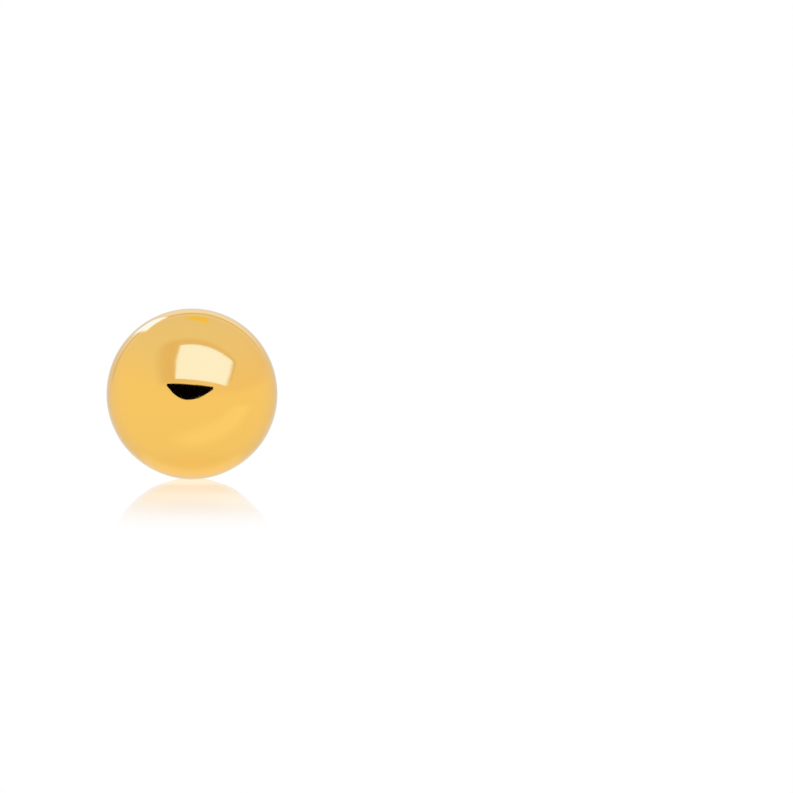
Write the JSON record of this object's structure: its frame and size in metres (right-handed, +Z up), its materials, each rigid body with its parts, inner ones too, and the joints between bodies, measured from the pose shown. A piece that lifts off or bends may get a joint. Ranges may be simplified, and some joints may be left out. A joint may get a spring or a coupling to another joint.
{
  "type": "ball stud earring",
  "caption": "Plain polished metal ball on a straight post, held in a pierced ear lobe by a push-on butterfly nut.",
  "frame": {"origin": "on the table that the stud rests on, under the middle of its box", "axes": "-Y towards the front of the ball, +Y back along the post, which dips 7.9 degrees, +X to the right, +Z up"},
  "size_m": [0.008, 0.0188, 0.008],
  "materials": {
    "polished_gold": "mirror-polished yellow gold plating",
    "rolled_gold": "bright rolled and stamped yellow gold plating"
  },
  "bodies": {
    "root": {"ball_and_post": "polished_gold", "butterfly_nut": "rolled_gold"}
  },
  "joints": []
}
